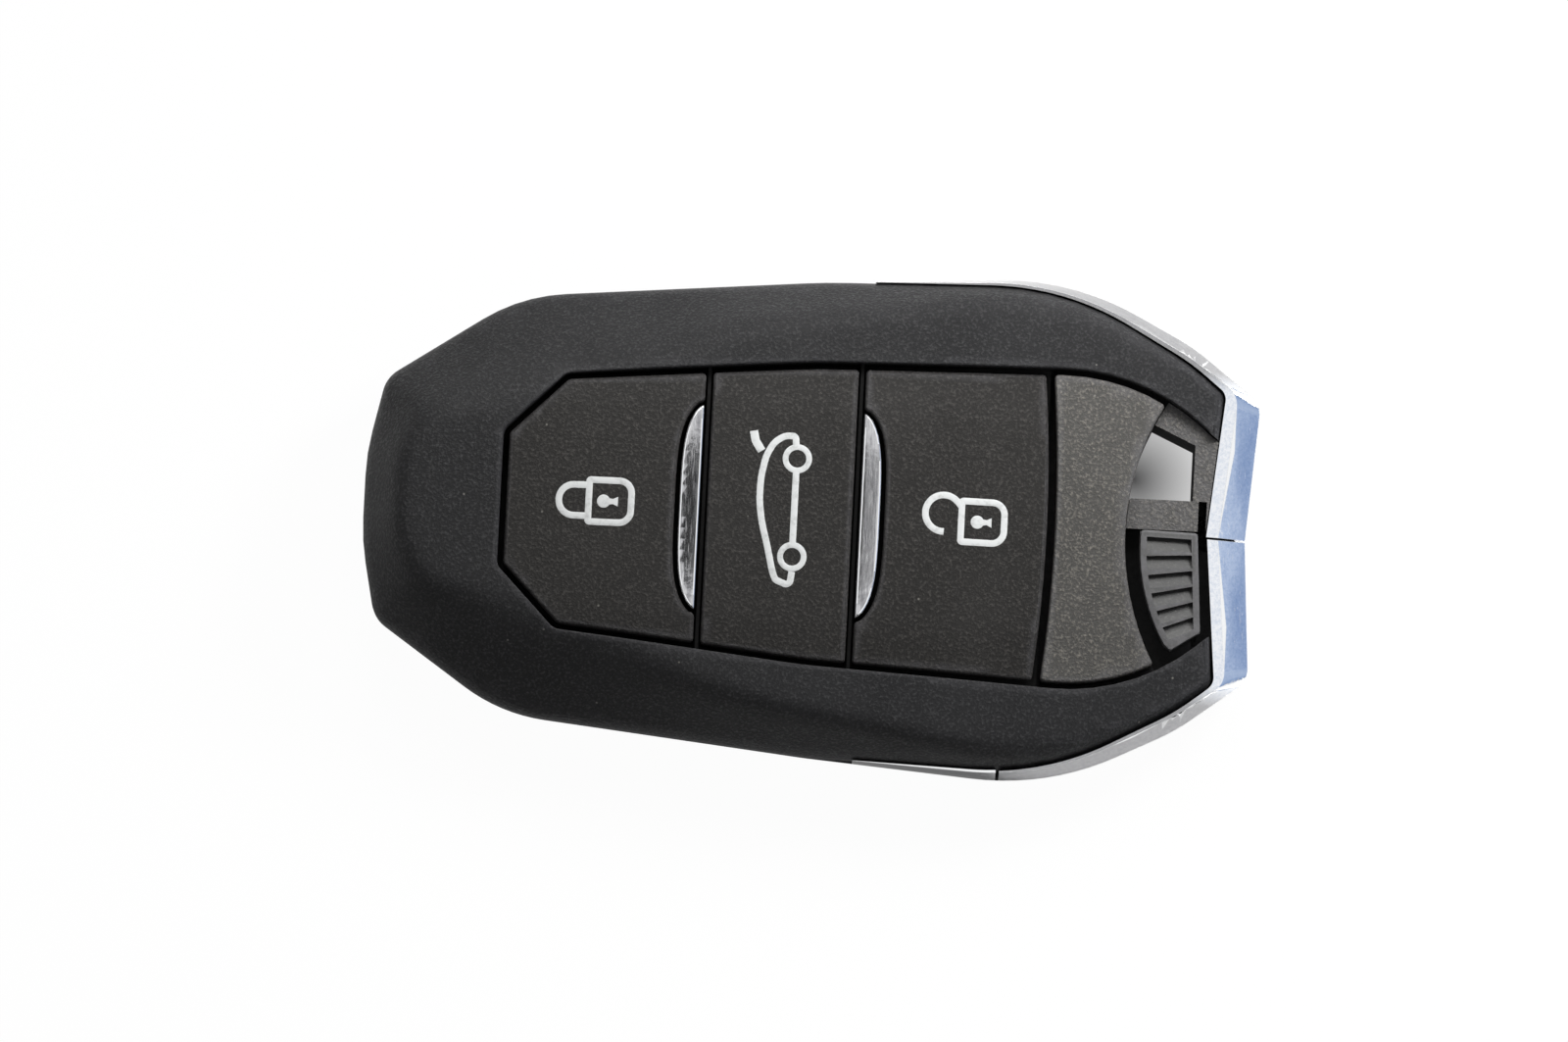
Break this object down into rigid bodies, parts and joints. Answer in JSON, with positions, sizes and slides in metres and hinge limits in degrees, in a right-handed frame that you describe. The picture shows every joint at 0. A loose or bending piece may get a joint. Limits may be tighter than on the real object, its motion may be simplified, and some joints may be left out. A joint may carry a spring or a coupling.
{
  "type": "proximity car key",
  "caption": "Keyless-entry car key: black two-shell casing with bright end, three push buttons, key ring window, ribbed release and a pull-out emergency blade.",
  "frame": {"origin": "middle of the footprint, on the back face that the key rests on", "axes": "+X towards the bright end with the key ring window, +Y towards the key ring window's side, +Z out of the buttons"},
  "size_m": [0.081, 0.0456, 0.0153],
  "materials": {
    "soft_black": "soft-touch moulded, fine grain",
    "button_black": "matt moulded, fine grain",
    "panel_black": "coarse spark-eroded texture",
    "frame_black": "plain moulded",
    "bright_chrome": "bright plated, light scratches",
    "blade_steel": "ground and nickel plated",
    "mat_rubber": "matt silicone",
    "board_green": "solder mask over glass fibre",
    "chip_black": "moulded epoxy",
    "part_ceramic": "plain ceramic",
    "coil_brown": "enamelled copper over ferrite",
    "spring_steel": "drawn wire",
    "contact_brass": "gold flashed strip",
    "cell_steel": "nickel plated can"
  },
  "bodies": {
    "back_shell": {"rear_cover": "soft_black"},
    "fob": {"inner_frame": "frame_black", "front_shell": "soft_black", "chrome_band": "bright_chrome", "lower_side_trim": "bright_chrome", "tail_panel": "panel_black", "keypad_frame": "frame_black", "keypad_mat": "mat_rubber", "left_trim_strip": "bright_chrome", "right_trim_strip": "bright_chrome", "slider_spring": "spring_steel", "circuit_board": "board_green", "tactile_switches": "contact_brass", "chip_components": "part_ceramic", "controller_chip": "chip_black", "radio_chip": "chip_black", "crystal": "cell_steel", "wake_coil": "coil_brown", "loop_antenna": "contact_brass", "battery": "cell_steel", "battery_contact_negative": "contact_brass", "battery_contact_positive": "contact_brass"},
    "lock": {"lock_button": "button_black"},
    "boot": {"boot_button": "button_black"},
    "unlock": {"unlock_button": "button_black"},
    "release": {"release_slider": "panel_black"},
    "emergency_key": {"key_blade": "blade_steel", "key_head": "frame_black", "key_head_trim": "bright_chrome", "head_rivet": "blade_steel"}
  },
  "joints": [
    {"name": "cover_snap", "type": "slide", "parent": "back_shell", "child": "fob", "axis": [0, 0, 1], "range_m": [0, 0.02]},
    {"name": "lock_press", "type": "slide", "parent": "fob", "child": "lock", "axis": [0, 0, -1], "range_m": [0, 0.0005], "stiffness_N_per_m": 5000},
    {"name": "boot_press", "type": "slide", "parent": "fob", "child": "boot", "axis": [0, 0, -1], "range_m": [0, 0.0005], "stiffness_N_per_m": 5000},
    {"name": "unlock_press", "type": "slide", "parent": "fob", "child": "unlock", "axis": [0, 0, -1], "range_m": [0, 0.0005], "stiffness_N_per_m": 5000},
    {"name": "release_slide", "type": "slide", "parent": "fob", "child": "release", "axis": [0, 1, 0], "range_m": [0, 0.0025], "stiffness_N_per_m": 600, "deforming": ["slider_spring"]},
    {"name": "key_pull", "type": "slide", "parent": "fob", "child": "emergency_key", "axis": [1, 0, 0], "range_m": [0, 0.065]}
  ]
}
